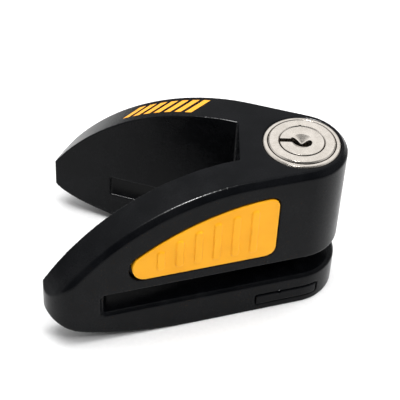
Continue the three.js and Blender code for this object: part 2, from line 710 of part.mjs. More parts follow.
// An open clip that holds the cam on the plug's tail.
function camClip() {
  const mouth = 0.5;
  const shape = new THREE.Shape();
  shape.absarc(0, 0, CLIP_RADIUS, mouth, 2 * Math.PI - mouth, false);
  shape.absarc(0, 0, TAIL_NECK_RADIUS + RUNNING_GAP, 2 * Math.PI - mouth, mouth, true);
  shape.closePath();
  return prism(shape, CLIP_BOTTOM, CLIP_TOP);
}

// Nose, shank and heel of the latch bolt: the cam's pin drives the heel and clears the rest.
function latchBolt() {
  const heelFace = -ECCENTRICITY * Math.SQRT1_2 + ECCENTRIC_RADIUS + CAM_CLEARANCE;
  return prism(polygon([
    [BOLT_TIP, -BOLT_HALF_WIDTH],
    [BOLT_REAR, -BOLT_HALF_WIDTH],
    [BOLT_REAR, HEEL_EDGE],
    [heelFace, HEEL_EDGE],
    [heelFace, SHANK_EDGE],
    [BOLT_NOSE_END, SHANK_EDGE],
    [BOLT_NOSE_END, BOLT_HALF_WIDTH],
    [BOLT_TIP, BOLT_HALF_WIDTH],
  ]), BOLT_BOTTOM, BOLT_TOP);
}

function latchSpring() {
  const wire = 0.22;
  const [seat, stop] = [BOLT_REAR + RUNNING_GAP, 7.6];
  const along = coil(1.1, wire, seat + wire, stop - wire, 5, 8, 4);
  return along.rotate([0, 90, 0]).translate([0, -1, (BOLT_TOP + BOLT_BOTTOM) / 2]);
}

function barrelBase() {
  return ring(SPIGOT_RADIUS + RUNNING_GAP, BARREL_CAVITY_RADIUS - RUNNING_GAP, BASE_BOTTOM, BASE_TOP);
}

// ---------------------------------------------------------------- locking pin

function lockingPin() {
  const lead = 0.8;
  return turned([
    [0, PIN_TIP],
    [PIN_RADIUS - lead, PIN_TIP],
    [PIN_RADIUS, PIN_TIP + lead],
    [PIN_RADIUS, BASE_BOTTOM - RUNNING_GAP],
    [SPIGOT_RADIUS, BASE_BOTTOM - RUNNING_GAP],
    [SPIGOT_RADIUS, BASE_TOP - RUNNING_GAP],
    [0, BASE_TOP - RUNNING_GAP],
  ]);
}

function returnSpring() {
  const wire = 0.5;
  const room = wire + RUNNING_GAP;
  return coil(PIN_RADIUS + 1.2, wire, BORE_FLOOR + room, BASE_BOTTOM - room, 3.25, 18, 6);
}

function guideDowel() {
  return post(DOWEL_RADIUS, BORE_FLOOR + LOOSE_GAP, SEAL_BOTTOM - LOOSE_GAP, 0, DOWEL_Y);
}

// ---------------------------------------------------------------- materials

function finish(color, roughness, metalness) {
  return () => new THREE.MeshStandardMaterial({ color, roughness, metalness });
}

const satinBlack = finish(0x1b1c1f, 0.45, 0.1);
const orangeGrip = finish(0xf39a16, 0.55, 0);
const blackRubber = finish(0x101010, 0.8, 0);
const satinNickel = finish(0xd8d0c4, 0.3, 1);
const hardenedSteel = finish(0x8a8d90, 0.35, 1);
const springSteel = finish(0xa6a8aa, 0.3, 1);
const brass = finish(0xc8a24a, 0.35, 1);

// ---------------------------------------------------------------- assembly

const lock = new THREE.Group();

function addPiece(name, solid, material) {
  const mesh = new THREE.Mesh(geometryOf(solid), material());
  mesh.name = name;
  lock.add(mesh);
}

function addBody() {
  const grip = nearGrip();
  addPiece('lock_body', lockBody(), satinBlack);
  addPiece('near_grip', grip, orangeGrip);
  addPiece('far_grip', mirrored(grip), orangeGrip);
  addPiece('bezel_ring', onLockAxis(bezelRing()), satinNickel);
  addPiece('wiper_seal', onLockAxis(wiperSeal()), blackRubber);
  addPiece('guide_dowel', onLockAxis(guideDowel()), hardenedSteel);
  addPiece('jaw_insert', jawInsert(), satinBlack);
  addPiece('insert_pin', insertPin(), springSteel);
  addPiece('return_spring', onLockAxis(returnSpring()), springSteel);
}

function addBarrel() {
  addPiece('barrel', onLockAxis(barrel()), satinNickel);
  addPiece('barrel_base', onLockAxis(barrelBase()), hardenedSteel);
  addPiece('locking_pin', onLockAxis(lockingPin()), hardenedSteel);
  addPiece('pin_cover', onLockAxis(pinCover()), brass);
  addPiece('barrel_drill_pin', onLockAxis(drillPin(BARREL_DRILL_PIN_X, NECK_RADIUS)), hardenedSteel);
  for (let i = 0; i < STACK_COUNT; i += 1) {
    addPiece(`driver_pin_${i + 1}`, onLockAxis(driverPin(i)), brass);
    addPiece(`pin_spring_${i + 1}`, onLockAxis(pinSpring(i)), springSteel);
  }
}

function addPlug() {
  addPiece('plug', onLockAxis(plug()), satinNickel);
  addPiece('plug_drill_pin', onLockAxis(drillPin(PLUG_DRILL_PIN_X, PLUG_RADIUS)), hardenedSteel);
  addPiece('plug_cam', onLockAxis(plugCam()), hardenedSteel);
  addPiece('cam_clip', onLockAxis(camClip()), springSteel);
  for (let i = 0; i < STACK_COUNT; i += 1) {
    addPiece(`bottom_pin_${i + 1}`, onLockAxis(bottomPin(i)), brass);
  }
}

function addLatch() {
  addPiece('latch_bolt', onLockAxis(latchBolt()), hardenedSteel);
  addPiece('latch_spring', onLockAxis(latchSpring()), springSteel);
}

addBody();
addBarrel();
addPlug();
addLatch();

export default lock;
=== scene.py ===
import math

import bmesh
import bpy
from mathutils import Matrix, Vector
from mathutils.bvhtree import BVHTree


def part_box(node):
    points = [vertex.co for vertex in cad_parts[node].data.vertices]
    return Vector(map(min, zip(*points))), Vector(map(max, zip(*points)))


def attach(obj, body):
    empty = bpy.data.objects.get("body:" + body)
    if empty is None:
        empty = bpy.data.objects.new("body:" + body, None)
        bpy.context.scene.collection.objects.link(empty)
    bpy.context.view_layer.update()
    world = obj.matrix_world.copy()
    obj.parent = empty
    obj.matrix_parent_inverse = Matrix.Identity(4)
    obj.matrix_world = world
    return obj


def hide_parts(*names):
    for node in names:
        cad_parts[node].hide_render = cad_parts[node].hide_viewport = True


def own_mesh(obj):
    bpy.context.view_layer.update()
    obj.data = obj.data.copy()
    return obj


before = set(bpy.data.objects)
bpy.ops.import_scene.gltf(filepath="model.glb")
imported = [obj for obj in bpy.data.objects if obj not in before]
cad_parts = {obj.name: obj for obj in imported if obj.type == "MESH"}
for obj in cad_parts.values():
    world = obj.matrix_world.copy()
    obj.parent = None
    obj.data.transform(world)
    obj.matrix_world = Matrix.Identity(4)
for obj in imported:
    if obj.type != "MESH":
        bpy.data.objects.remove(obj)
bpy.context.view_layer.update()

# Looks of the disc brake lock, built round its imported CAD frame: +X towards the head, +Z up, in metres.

MM = 0.001  # shapes are made in millimetres and scaled once they are done
TURN_STEPS = 128  # sides of a large turned piece
PIN_STEPS = 32  # sides of a small one
FLATS = 6  # degrees; keeps turned faces flat up to their eased edges

# Sizes in millimetres that the CAD nodes' boxes don't give
RUNNING_GAP = 0.05  # between pieces that slide or turn in each other
SHOULDER_TOP = 36.0  # of the barrel's wide lower part
CAVITY_RADIUS = 8.0  # of the room for the latch, below the web
WEB_BOTTOM = 34.6  # the web is the wall inside the barrel that the plug stands on
WEB_TOP = 36.2
JOURNAL_RADIUS = 4.5  # of the plug where it passes through the web
PLUG_SHOULDER = 36.4
BOLT_HALF_WIDTH = 3.0
SPIGOT_RADIUS = 3.0  # of the locking pin where it enters the barrel base
STACK_HOLE = 1.05  # radius of the holes for the pin stacks


# ---------------------------------------------------------------- where the CAD pieces are

def box_mm(node):
    low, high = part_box(node)
    return low / MM, high / MM


def middle(node):
    low, high = box_mm(node)
    return (low + high) / 2


LOCK_AXIS = middle("bezel_ring")
LOCK_AXIS.z = 0.0


# ---------------------------------------------------------------- making meshes

def new_piece(name, mesh):
    piece = bpy.data.objects.new(name, mesh)
    bpy.context.scene.collection.objects.link(piece)
    return piece


def piece_from(name, vertices, faces):
    mesh = bpy.data.meshes.new(name)
    mesh.from_pydata([tuple(v) for v in vertices], [], faces)
    mesh.validate()
    bm = bmesh.new()
    bm.from_mesh(mesh)
    bmesh.ops.recalc_face_normals(bm, faces=bm.faces)
    bm.to_mesh(mesh)
    bm.free()
    return new_piece(name, mesh)


def apply_modifiers(piece):
    graph = bpy.context.evaluated_depsgraph_get()
    mesh = bpy.data.meshes.new_from_object(piece.evaluated_get(graph), depsgraph=graph)
    piece.modifiers.clear()
    old = piece.data
    piece.data = mesh
    bpy.data.meshes.remove(old)


def smooth_within(piece, degrees):
    """Smooth shading, except across edges sharper than this."""
    mesh = piece.data
    mesh.shade_smooth()
    bm = bmesh.new()
    bm.from_mesh(mesh)
    limit = math.radians(degrees)
    for edge in bm.edges:
        edge.smooth = len(edge.link_faces) == 2 and edge.calc_face_angle(0.0) < limit
    bm.to_mesh(mesh)
    bm.free()


def rounded(points, radius, steps=4):
    """A closed outline whose corners are turned into short arcs."""
    outline = []
    for i, corner in enumerate(points):
        corner = Vector(corner)
        before = Vector(points[i - 1]) - corner
        after = Vector(points[(i + 1) % len(points)]) - corner
        reach = min(radius, 0.45 * before.length, 0.45 * after.length)
        if corner.x < 1e-6 or reach < 1e-6:
            outline.append(corner)
            continue
        start = corner + before.normalized() * reach
        end = corner + after.normalized() * reach
        for k in range(steps + 1):
            t = k / steps
            outline.append(start * (1 - t) ** 2 + corner * (2 * t * (1 - t)) + end * t * t)
    return outline


def turned(name, points, radius=0.0, steps=TURN_STEPS, axis=LOCK_AXIS):
    """A closed outline of (radius, height) points turned round a vertical axis."""
    outline = rounded(points, radius) if radius else [Vector(p) for p in points]
    vertices, rings = [], []
    for point in outline:
        if point.x < 1e-6:
            rings.append([len(vertices)] * steps)
            vertices.append((axis.x, axis.y, point.y))
            continue
        rings.append(list(range(len(vertices), len(vertices) + steps)))
        for k in range(steps):
            angle = 2 * math.pi * k / steps
            x = axis.x + point.x * math.cos(angle)
            y = axis.y + point.x * math.sin(angle)
            vertices.append((x, y, point.y))
    faces = []
    for i, ring in enumerate(rings):
        after = rings[(i + 1) % len(rings)]
        for k in range(steps):
            corners = [ring[k], ring[(k + 1) % steps], after[(k + 1) % steps], after[k]]
            unique = list(dict.fromkeys(corners))
            if len(unique) > 2:
                faces.append(unique)
    return piece_from(name, vertices, faces)


def prism(name, outline, bottom, top):
    """An outline in X and Y, closed and run from bottom to top."""
    count = len(outline)
    vertices = [(p[0], p[1], bottom) for p in outline] + [(p[0], p[1], top) for p in outline]
    faces = [list(range(count))[::-1], list(range(count, 2 * count))]
    faces += [[k, (k + 1) % count, count + (k + 1) % count, count + k] for k in range(count)]
    return piece_from(name, vertices, faces)


def box(name, low, high):
    outline = [(low[0], low[1]), (high[0], low[1]), (high[0], high[1]), (low[0], high[1])]
    return prism(name, outline, low[2], high[2])


def laid_along(piece, direction, centre):
    """Turns a piece made along Z at the origin so that it runs along a direction through a point."""
    turn = Vector((0, 0, 1)).rotation_difference(Vector(direction)).to_matrix().to_4x4()
    piece.data.transform(Matrix.Translation(centre) @ turn)
    return piece


def combine(piece, operation, tools):
    for tool in tools:
        modifier = piece.modifiers.new("combine", "BOOLEAN")
        modifier.operation = operation
        modifier.solver = "MANIFOLD"
        modifier.object = tool
        apply_modifiers(piece)
        bpy.data.objects.remove(tool)


def rod(name, radius, length, ends=0.15):
    """A round pin along Z, centred on the origin, with eased ends."""
    half = length / 2
    return turned(name, [(0, -half), (radius, -half), (radius, half), (0, half)], ends, PIN_STEPS, Vector())


def coil(name, radius, wire, bottom, top, turns, axis, closed=0.75):
    """A compression spring whose last turns lie close together, as a wound spring's do."""
    steps, sides = int(turns * 36), 12
    rise = 2.1 * wire  # of each closed turn
    span = top - bottom - 2 * wire
    vertices, faces = [], []
    for i in range(steps + 1):
        turn = turns * i / steps
        if turn < closed:
            height = rise * turn
        elif turn > turns - closed:
            height = span - rise * (turns - turn)
        else:
            share = (turn - closed) / (turns - 2 * closed)
            height = rise * closed + (span - 2 * rise * closed) * share
        angle = 2 * math.pi * turn
        outward = Vector((math.cos(angle), math.sin(angle), 0))
        centre = axis + outward * radius + Vector((0, 0, bottom + wire + height))
        for k in range(sides):
            around = 2 * math.pi * k / sides
            lift = Vector((0, 0, wire * math.sin(around)))
            vertices.append(centre + outward * wire * math.cos(around) + lift)
    for i in range(steps):
        for k in range(sides):
            a, b = i * sides + k, i * sides + (k + 1) % sides
            faces.append([a, b, b + sides, a + sides])
    faces.append(list(range(sides))[::-1])
    faces.append(list(range(steps * sides, (steps + 1) * sides)))
    return piece_from(name, vertices, faces)


def copy_of(node, name):
    """The CAD node's mesh in millimetres, its split vertices joined again."""
    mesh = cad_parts[node].data.copy()
    mesh.name = name
    mesh.transform(Matrix.Scale(1 / MM, 4))
    mesh.materials.clear()
    bm = bmesh.new()
    bm.from_mesh(mesh)
    bmesh.ops.remove_doubles(bm, verts=bm.verts, dist=1e-4)
    bm.to_mesh(mesh)
    bm.free()
    return new_piece(name, mesh)


def cast(node, name, voxel, passes, faces=None):
    """The CAD shape with every edge softened, as casting or moulding and then coating leaves it."""
    piece = copy_of(node, name)
    remesh = piece.modifiers.new("remesh", "REMESH")
    remesh.mode = "VOXEL"
    remesh.voxel_size = voxel
    soften = piece.modifiers.new("soften", "SMOOTH")
    soften.factor = 0.5
    soften.iterations = passes
    apply_modifiers(piece)
    if faces and 2 * len(piece.data.polygons) > faces:
        thin = piece.modifiers.new("thin", "DECIMATE")
        thin.ratio = faces / (2 * len(piece.data.polygons))
        apply_modifiers(piece)
    piece.data.shade_smooth()
    return piece


def machined(node, name, edge):
    """The CAD shape with its sharp edges broken."""
    piece = copy_of(node, name)
    merge = piece.modifiers.new("merge", "DECIMATE")
    merge.decimate_type = "DISSOLVE"
    merge.angle_limit = math.radians(0.5)
    bevel = piece.modifiers.new("bevel", "BEVEL")
    bevel.width = edge
    bevel.segments = 2
    bevel.limit_method = "ANGLE"
    bevel.angle_limit = math.radians(35)
    apply_modifiers(piece)
    smooth_within(piece, 30)
    return piece


# ---------------------------------------------------------------- finishes

class Finish:
    """A procedural material. Its patterns are placed by object coordinates in millimetres."""

    def __init__(self, name, metallic, specular):
        self.material = bpy.data.materials.new(name)
        self.material.use_nodes = True
        self.tree = self.material.node_tree
        self.shader = self.tree.nodes["Principled BSDF"]
        self.shader.inputs["Metallic"].default_value = metallic
        self.shader.inputs["Specular IOR Level"].default_value = specular
        where = self.add("ShaderNodeTexCoord").outputs["Object"]
        self.place = self.maths("SCALE", where, scale=1 / MM, vector=True)

    def add(self, kind, **settings):
        node = self.tree.nodes.new(kind)
        for key, value in settings.items():
            setattr(node, key, value)
        return node

    def feed(self, socket, value):
        if isinstance(value, bpy.types.NodeSocket):
            self.tree.links.new(value, socket)
        else:
            socket.default_value = value

    def maths(self, operation, a, b=None, scale=None, vector=False):
        node = self.add("ShaderNodeVectorMath" if vector else "ShaderNodeMath", operation=operation)
        self.feed(node.inputs[0], a)
        if b is not None:
            self.feed(node.inputs[1], b)
        if scale is not None:
            self.feed(node.inputs["Scale"], scale)
        return node.outputs["Value"] if operation == "DOT_PRODUCT" else node.outputs[0]

    def noise(self, size, detail=2.0, stretch=(1, 1, 1)):
        """Noise whose features are about this many millimetres across."""
        node = self.add("ShaderNodeTexNoise")
        place = self.maths("MULTIPLY", self.place, tuple(1 / s for s in stretch), vector=True)
        self.feed(node.inputs["Vector"], place)
        node.inputs["Scale"].default_value = 1 / size
        node.inputs["Detail"].default_value = detail
        return node.outputs["Fac"]

    def spread(self, value, low, high, start=0.35, end=0.65):
        """Maps a noise, which mostly lies between start and end, to low and high."""
        node = self.add("ShaderNodeMapRange")
        self.feed(node.inputs["Value"], value)
        for socket, number in (("From Min", start), ("From Max", end), ("To Min", low), ("To Max", high)):
            self.feed(node.inputs[socket], number)
        return node.outputs["Result"]

    def mix(self, share, first, second):
        node = self.add("ShaderNodeMix", data_type="RGBA")
        self.feed(node.inputs["Factor"], share)
        self.feed(node.inputs["A"], first if isinstance(first, bpy.types.NodeSocket) else (*first, 1))
        self.feed(node.inputs["B"], second if isinstance(second, bpy.types.NodeSocket) else (*second, 1))
        return node.outputs["Result"]

    def edges(self, width):
        """1 along the outer edges, over about this many millimetres, and 0 on open faces."""
        bevel = self.add("ShaderNodeBevel", samples=6)
        bevel.inputs["Radius"].default_value = width * MM
        flat = self.add("ShaderNodeNewGeometry").outputs["Normal"]
        same = self.maths("DOT_PRODUCT", bevel.outputs["Normal"], flat, vector=True)
        return self.spread(same, 1.0, 0.0, 0.86, 0.995)

    def painted_crevice_shade(self, reach):
        """Painted shade from ambient occlusion: 1 deep in gaps and holes about this many millimetres across,
        and 0 in the open.
        """
        hollow = self.add("ShaderNodeAmbientOcclusion", samples=8)
        hollow.inputs["Distance"].default_value = reach * MM
        return self.spread(hollow.outputs["AO"], 1.0, 0.0, 0.32, 0.78)

    def bump(self, height, depth, under=None):
        node = self.add("ShaderNodeBump")
        node.inputs["Strength"].default_value = 1.0
        node.inputs["Distance"].default_value = depth * MM
        self.feed(node.inputs["Height"], height)
        if under is not None:
            self.feed(node.inputs["Normal"], under)
        return node.outputs["Normal"]

    def finish(self, colour, roughness, normal):
        self.feed(self.shader.inputs["Base Color"], colour)
        self.feed(self.shader.inputs["Roughness"], roughness)
        self.feed(self.shader.inputs["Normal"], normal)
        return self.material


def coated_black():
    """Satin black coating: a fine orange-peel grain, faint mottling, and polish along the handled edges."""
    f = Finish("coated_black", 0.0, 0.078)
    broad, grain, speck = f.noise(7.0), f.noise(0.28, 3.0), f.noise(0.09, 1.0)
    base = f.mix(f.spread(broad, 0, 1), (0.0018, 0.0021, 0.0028), (0.0030, 0.0033, 0.0042))
    worn = f.maths("MULTIPLY", f.edges(0.45), f.spread(f.noise(0.9, 3.0), 0.15, 0.75))
    colour = f.mix(worn, base, (0.009, 0.0095, 0.011))
    dulled = f.spread(f.maths("ADD", broad, grain), 0.21, 0.31, 0.75, 1.25)
    roughness = f.maths("SUBTRACT", dulled, f.maths("MULTIPLY", worn, 0.06))
    normal = f.bump(speck, 0.0015, f.bump(grain, 0.006))
    return f.finish(colour, roughness, normal)


def moulded_orange():
    """Satin orange plastic: fine spark texture, slow colour drift, a painted highlight that lightens the
    edges, and painted shade that darkens gaps and recesses.
    """
    f = Finish("moulded_orange", 0.0, 0.22)
    broad, grain = f.noise(9.0), f.noise(0.22, 3.0)
    base = f.mix(f.spread(broad, 0, 1), (0.93, 0.40, 0.005), (0.98, 0.44, 0.008))
    # painted highlight: the colour along the edges is lightened towards a yellower orange
    thin = f.maths("MULTIPLY", f.edges(0.5), 0.5)
    # painted shade: gaps and recesses are darkened towards dark brown
    colour = f.mix(f.painted_crevice_shade(0.9), f.mix(thin, base, (1.0, 0.58, 0.06)), (0.10, 0.030, 0.002))
    roughness = f.spread(grain, 0.42, 0.56)
    return f.finish(colour, roughness, f.bump(grain, 0.008))


def printed_yellow():
    """Printed ink: nearly flat, with a little unevenness in cover."""
    f = Finish("printed_yellow", 0.0, 0.3)
    cover = f.noise(0.5, 3.0)
    colour = f.mix(f.spread(cover, 0, 1), (0.86, 0.34, 0.02), (0.98, 0.46, 0.045))
    return f.finish(colour, f.spread(cover, 0.4, 0.55), f.bump(f.noise(0.15), 0.004))


def plated(name, light, dark, roughness, marks, grain_depth=0.0012):
    """Plated or bare metal: faint clouding, fine turned or ground marks, bright worn edges, and painted
    shade that darkens its gaps and holes.
    """
    f = Finish(name, 1.0, 0.5)
    cloud, patch = f.noise(2.2, 3.0), f.noise(0.5, 3.0)
    base = f.mix(f.spread(f.maths("ADD", cloud, patch), 0, 1, 0.75, 1.25), dark, light)
    worn = f.maths("MULTIPLY", f.edges(0.16), 0.7)
    bright = f.mix(worn, base, tuple(min(1.0, c * 1.12) for c in light))
    # painted shade: gaps and holes are darkened towards near black
    colour = f.mix(f.painted_crevice_shade(1.6), bright, (0.012, 0.011, 0.010))
    if marks == "turned":
        flat = f.add("ShaderNodeVectorMath", operation="MULTIPLY")
        f.feed(flat.inputs[0], f.maths("SUBTRACT", f.place, tuple(LOCK_AXIS), vector=True))
        f.feed(flat.inputs[1], (1.0, 1.0, 0.0))
        length = f.add("ShaderNodeVectorMath", operation="LENGTH")
        f.feed(length.inputs[0], flat.outputs[0])
        ring = f.add("ShaderNodeTexNoise", noise_dimensions="1D")
        f.feed(ring.inputs["W"], length.outputs["Value"])
        ring.inputs["Scale"].default_value = 7.0
        ring.inputs["Detail"].default_value = 3.0
        lines = ring.outputs["Fac"]
    else:
        lines = f.noise(0.12, 2.0, marks)
    low, high = roughness
    dulled = f.spread(f.maths("ADD", patch, lines), low, high, 0.75, 1.25)
    normal = f.bump(patch, grain_depth, f.bump(lines, grain_depth))
    return f.finish(colour, dulled, normal)


def rubber():
    """Matt black rubber with a fine grain."""
    f = Finish("seal_rubber", 0.0, 0.3)
    grain = f.noise(0.15, 3.0)
    colour = f.mix(f.spread(grain, 0, 1), (0.008, 0.008, 0.008), (0.016, 0.016, 0.015))
    return f.finish(colour, f.spread(grain, 0.65, 0.85), f.bump(grain, 0.01))


BLACK = coated_black()
ORANGE = moulded_orange()
INK = printed_yellow()
NICKEL = plated("satin_nickel", (0.82, 0.765, 0.70), (0.66, 0.61, 0.55), (0.2, 0.31), "turned")
STEEL = plated("hardened_steel", (0.46, 0.47, 0.49), (0.34, 0.35, 0.37), (0.22, 0.36), (1, 1, 9))
WIRE = plated("spring_steel", (0.58, 0.58, 0.59), (0.42, 0.42, 0.43), (0.2, 0.32), (3, 3, 1))
BRASS = plated("turned_brass", (0.80, 0.58, 0.24), (0.66, 0.45, 0.16), (0.22, 0.34), (9, 1, 1))
RUBBER = rubber()


def place(piece, body, nodes, slot, material):
    """Scales a finished piece to metres and hands it to the frame."""
    piece.data.transform(Matrix.Scale(MM, 4))
    piece.data.materials.clear()
    piece.data.materials.append(material)
    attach(piece, body)
    if nodes:
        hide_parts(*nodes)
    return piece


# ---------------------------------------------------------------- the case

def body_shell():
    return cast("lock_body", "body_casting", voxel=0.28, passes=4, faces=190000)


def stripes(shell):
    """Plain slanted bars printed on the far arm's top. They follow the surface they are printed on."""
    tree = BVHTree.FromObject(shell, bpy.context.evaluated_depsgraph_get())
    start, end = Vector((-21.6, 24.8)), Vector((2.9, 16.6))
    along = end - start
    across = Vector((-along.y, along.x)).normalized()
    bars = 7
    slant = 0.075  # as a share of the row's length
    share = 0.6  # of a bar's pitch that is ink
    above = 80  # higher than the lock, where the search for its surface starts
    rows, columns = 10, 6  # of faces on each bar
    vertices, faces = [], []
    for bar in range(bars):
        base = len(vertices)
        for lift in (0.02, -0.05):  # the ink's upper side, and its underside within the coating
            for i in range(rows + 1):
                v = 2 * i / rows - 1
                for j in range(columns + 1):
                    t = (bar + share * j / columns) / (bars - 1 + share)
                    t = t * (1 - 2 * slant) + slant + slant * v
                    half = 2.2 + 1.3 * t  # the row widens with the arm
                    spot = start + along * t + across * half * v
                    hit = tree.ray_cast(Vector((spot.x, spot.y, above)), Vector((0, 0, -1)))[0]
                    vertices.append((spot.x, spot.y, hit.z + lift))
        width = columns + 1
        sheet = (rows + 1) * width
        for i in range(rows):
            for j in range(columns):
                a = base + i * width + j
                faces.append([a, a + 1, a + width + 1, a + width])
                faces.append([a + sheet, a + sheet + width, a + sheet + width + 1, a + sheet + 1])
        border = list(range(columns)) + [i * width + columns for i in range(rows)]
        border += [rows * width + j for j in range(columns, 0, -1)] + [i * width for i in range(rows, 0, -1)]
        for k, first in enumerate(border):
            second = border[(k + 1) % len(border)]
            faces.append([base + first, base + first + sheet, base + second + sheet, base + second])
    return piece_from("arm_stripes", vertices, faces)


def build_case():
    shell = body_shell()
    marks = stripes(shell)
    place(shell, "case", ["lock_body"], "black_body", BLACK)
    place(marks, "case", [], "orange_grip", INK)
    fine = 0.17
    for side in ("near", "far"):
        grip = cast(side + "_grip", side + "_grip_moulding", voxel=fine, passes=12, faces=150000)
        place(grip, "case", [side + "_grip"], "orange_grip", ORANGE)
    insert = cast("jaw_insert", "jaw_insert_bar", voxel=fine, passes=3, faces=90000)
    place(insert, "case", ["jaw_insert"], "black_body", BLACK)
    build_bezel()
    low, high = box_mm("insert_pin")
    pin = rod("insert_pin_rod", (high.x - low.x) / 2, high.y - low.y, ends=0.12)
    laid_along(pin, (0, 1, 0), middle("insert_pin"))
    place(pin, "case", ["insert_pin"], "spring_steel", WIRE)
    low, high = box_mm("guide_dowel")
    dowel = rod("guide_dowel_rod", (high.y - low.y) / 2, high.z - low.z, ends=0.3)
    laid_along(dowel, (0, 0, 1), middle("guide_dowel"))
    place(dowel, "case", ["guide_dowel"], "hardened_steel", STEEL)
    low, high = box_mm("return_spring")
    wire = 0.5
    radius = (high.x - low.x) / 2 - wire
    spring = coil("return_spring_coil", radius, wire, low.z, high.z, turns=3.25, axis=LOCK_AXIS)
    place(spring, "case", ["return_spring"], "spring_steel", WIRE)
    return shell


def build_bezel():
    low, high = box_mm("bezel_ring")
    outer = (high.x - low.x) / 2
    inner = NECK + 0.18
    ring = turned("bezel_flange", [
        (inner, low.z), (outer, low.z), (outer, high.z - 0.45), (outer - 0.35, high.z - 0.06),
        (outer - 0.7, high.z), (inner + 0.16, high.z), (inner, high.z - 0.2)], 0.18)
    smooth_within(ring, FLATS)
    place(ring, "case", ["bezel_ring"], "satin_nickel", NICKEL)
    low, high = box_mm("wiper_seal")
    lip = NECK + 0.05
    seal = turned("wiper_seal_ring", [
        (lip, low.z + 0.5), (lip + 0.5, low.z + 0.1), (outer, low.z), (outer, high.z),
        (lip + 0.5, high.z - 0.1), (lip, high.z - 0.5)], 0.15)
    smooth_within(seal, 40)
    place(seal, "case", ["wiper_seal"], "black_rubber", RUBBER)


# ---------------------------------------------------------------- the key cylinder

SHOULDER = (box_mm("barrel")[1].x - box_mm("barrel")[0].x) / 2
NECK = SHOULDER - 0.75
PLUG = (box_mm("plug")[1].y - box_mm("plug")[0].y) / 2
STACK = [middle(f"bottom_pin_{i}").z for i in range(1, 6)]  # heights of the pin stacks


def stack_tools(start):
    """The holes of the pin stacks, along X from this far off the lock's axis to outside the barrel."""
    low = LOCK_AXIS.x + start
    high = LOCK_AXIS.x + SHOULDER + 1
    tools = []
    for i, height in enumerate(STACK):
        tool = rod(f"stack_tool_{i}", STACK_HOLE, high - low, 0.01)
        tools.append(laid_along(tool, (1, 0, 0), Vector(((low + high) / 2, 0, height))))
    return tools


def cross_hole(node):
    """The hole of a pin that runs along Y, right through what it is cut from."""
    low, high = box_mm(node)
    tool = rod(node + "_tool", (high.z - low.z) / 2 + RUNNING_GAP, 60, 0.01)
    return laid_along(tool, (0, 1, 0), middle(node))


def build_barrel():
    low, high = box_mm("barrel")
    gap = RUNNING_GAP
    bore = PLUG + gap
    chamfer = 0.4
    edge = 0.3
    web_hole = JOURNAL_RADIUS + gap
    outline = [
        (CAVITY_RADIUS, low.z), (SHOULDER - edge, low.z), (SHOULDER, low.z + edge),
        (SHOULDER, SHOULDER_TOP - edge), (SHOULDER - edge, SHOULDER_TOP), (NECK, SHOULDER_TOP),
        (NECK, high.z - chamfer), (NECK - 0.38, high.z), (bore + 0.42, high.z), (bore, high.z - chamfer),
        (bore, WEB_TOP), (web_hole, WEB_TOP), (web_hole, WEB_BOTTOM), (CAVITY_RADIUS, WEB_BOTTOM)]
    barrel = turned("barrel_turning", outline, 0.06)
    cover_low, cover_high = box_mm("pin_cover")
    bolt_low, bolt_high = box_mm("latch_bolt")
    side = BOLT_HALF_WIDTH + gap
    groove = box("groove_tool", (cover_low.x - gap, cover_low.y - gap, SHOULDER_TOP + gap),
                 (60, cover_high.y + gap, cover_high.z + gap))
    window = box("window_tool", (0, -side, bolt_low.z - gap), (LOCK_AXIS.x - 7.0, side, bolt_high.z + gap))
    dowel = middle("guide_dowel")
    radius, top = 1.15, 37.0
    dowel_groove = turned("dowel_tool", [(0, low.z - 1), (radius, low.z - 1), (radius, top), (0, top)], 0,
                          PIN_STEPS, Vector((dowel.x, dowel.y, 0)))
    notch = box("notch_tool", (LOCK_AXIS.x - 0.55, PLUG - 0.4, high.z - 0.25),
                (LOCK_AXIS.x + 0.25, PLUG + 0.75, high.z + 1))
    combine(barrel, "DIFFERENCE", [*stack_tools(PLUG - 1), groove, window, dowel_groove, notch,
                                   cross_hole("barrel_drill_pin")])
    smooth_within(barrel, FLATS)
    place(barrel, "cylinder", ["barrel"], "satin_nickel", NICKEL)


def keyway_tool(low, high):
    outline = [
        (-9.0, -0.7), (-3.1, -0.7), (-2.6, -1.0), (-1.3, -1.9), (0, -2.5), (1.3, -2.6), (2.5, -2.1),
        (3.0, -0.8), (2.8, 0.3), (2.1, 0.8), (1.3, 0.5), (0.6, 0.1), (0.05, -0.25), (-0.5, 0.0), (-1.1, 0.7),
        (-2.0, 1.4), (-3.0, 1.5), (-3.1, 0.9), (-9.0, 0.9)]
    clear = 20  # shifts the outline off x = 0, because rounded() leaves the corners there sharp
    shifted = [Vector((x + clear, y)) for x, y in outline]
    eased = [(p.x - clear + LOCK_AXIS.x, p.y) for p in rounded(shifted, 0.28, 3)]
    return prism("keyway_tool", eased, low, high)


